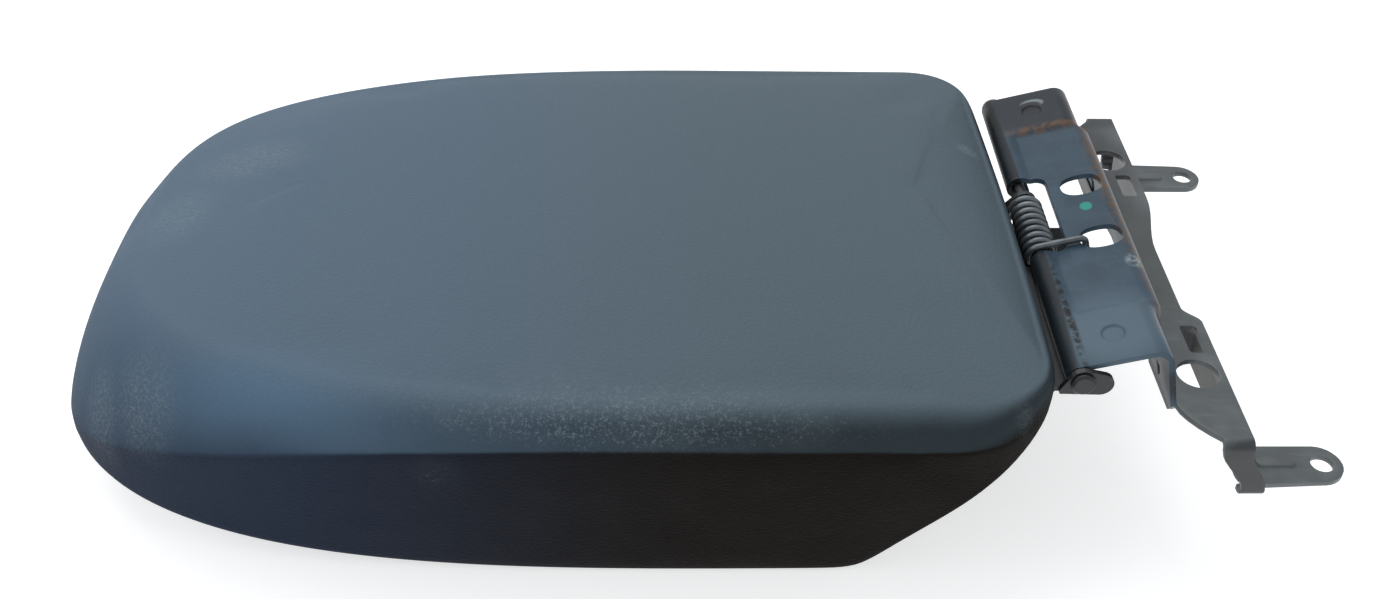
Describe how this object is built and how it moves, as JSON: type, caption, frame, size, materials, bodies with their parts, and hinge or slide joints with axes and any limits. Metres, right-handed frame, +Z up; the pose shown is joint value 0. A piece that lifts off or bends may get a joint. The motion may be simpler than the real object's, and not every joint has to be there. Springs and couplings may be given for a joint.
{
  "type": "armrest lid",
  "caption": "Padded armrest lid of a car's centre console in dark leatherette, with a sprung rear hinge on a folded steel bracket with bolt feet.",
  "frame": {"origin": "the middle of the whole part's box, at the height of the surface that the lid rests on", "axes": "+X from the lid's nose to its hinge, +Y along the hinge pin, +Z up out of the lid's top"},
  "size_m": [0.4038, 0.2, 0.0873],
  "materials": {
    "leatherette": "fine grained, semi-matt",
    "foam": "open-cell moulded foam",
    "black_plastic": "moulded, matt",
    "rubber": "moulded",
    "black_steel": "satin black coating on pressed sheet",
    "spring_steel": "oiled, dark",
    "screw_steel": "zinc plated, dull"
  },
  "bodies": {
    "bracket": {"hinge_plate": "black_steel", "mounting_bracket": "black_steel", "torsion_spring": "spring_steel"},
    "lid": {"pad_cover": "leatherette", "foam_pad": "foam", "lid_base": "black_plastic", "lower_panel": "black_plastic", "hinge_leaf": "black_steel", "hinge_pin": "screw_steel", "pin_clip": "spring_steel", "panel_screw_1": "screw_steel", "panel_screw_2": "screw_steel", "panel_screw_3": "screw_steel", "panel_screw_4": "screw_steel", "panel_screw_5": "screw_steel", "panel_screw_6": "screw_steel", "leaf_screw_1": "screw_steel", "leaf_screw_2": "screw_steel", "leaf_screw_3": "screw_steel", "leaf_screw_4": "screw_steel", "rubber_buffer_1": "rubber", "rubber_buffer_2": "rubber", "rubber_buffer_3": "rubber", "rubber_buffer_4": "rubber"}
  },
  "joints": [
    {"name": "lid_hinge", "type": "hinge", "parent": "bracket", "child": "lid", "pos_m": [0.1166, 0, 0.07], "axis": [0, 1, 0], "range_deg": [0, 90], "stiffness_Nm_per_rad": 0.2, "springref_deg": 110.01}
  ]
}
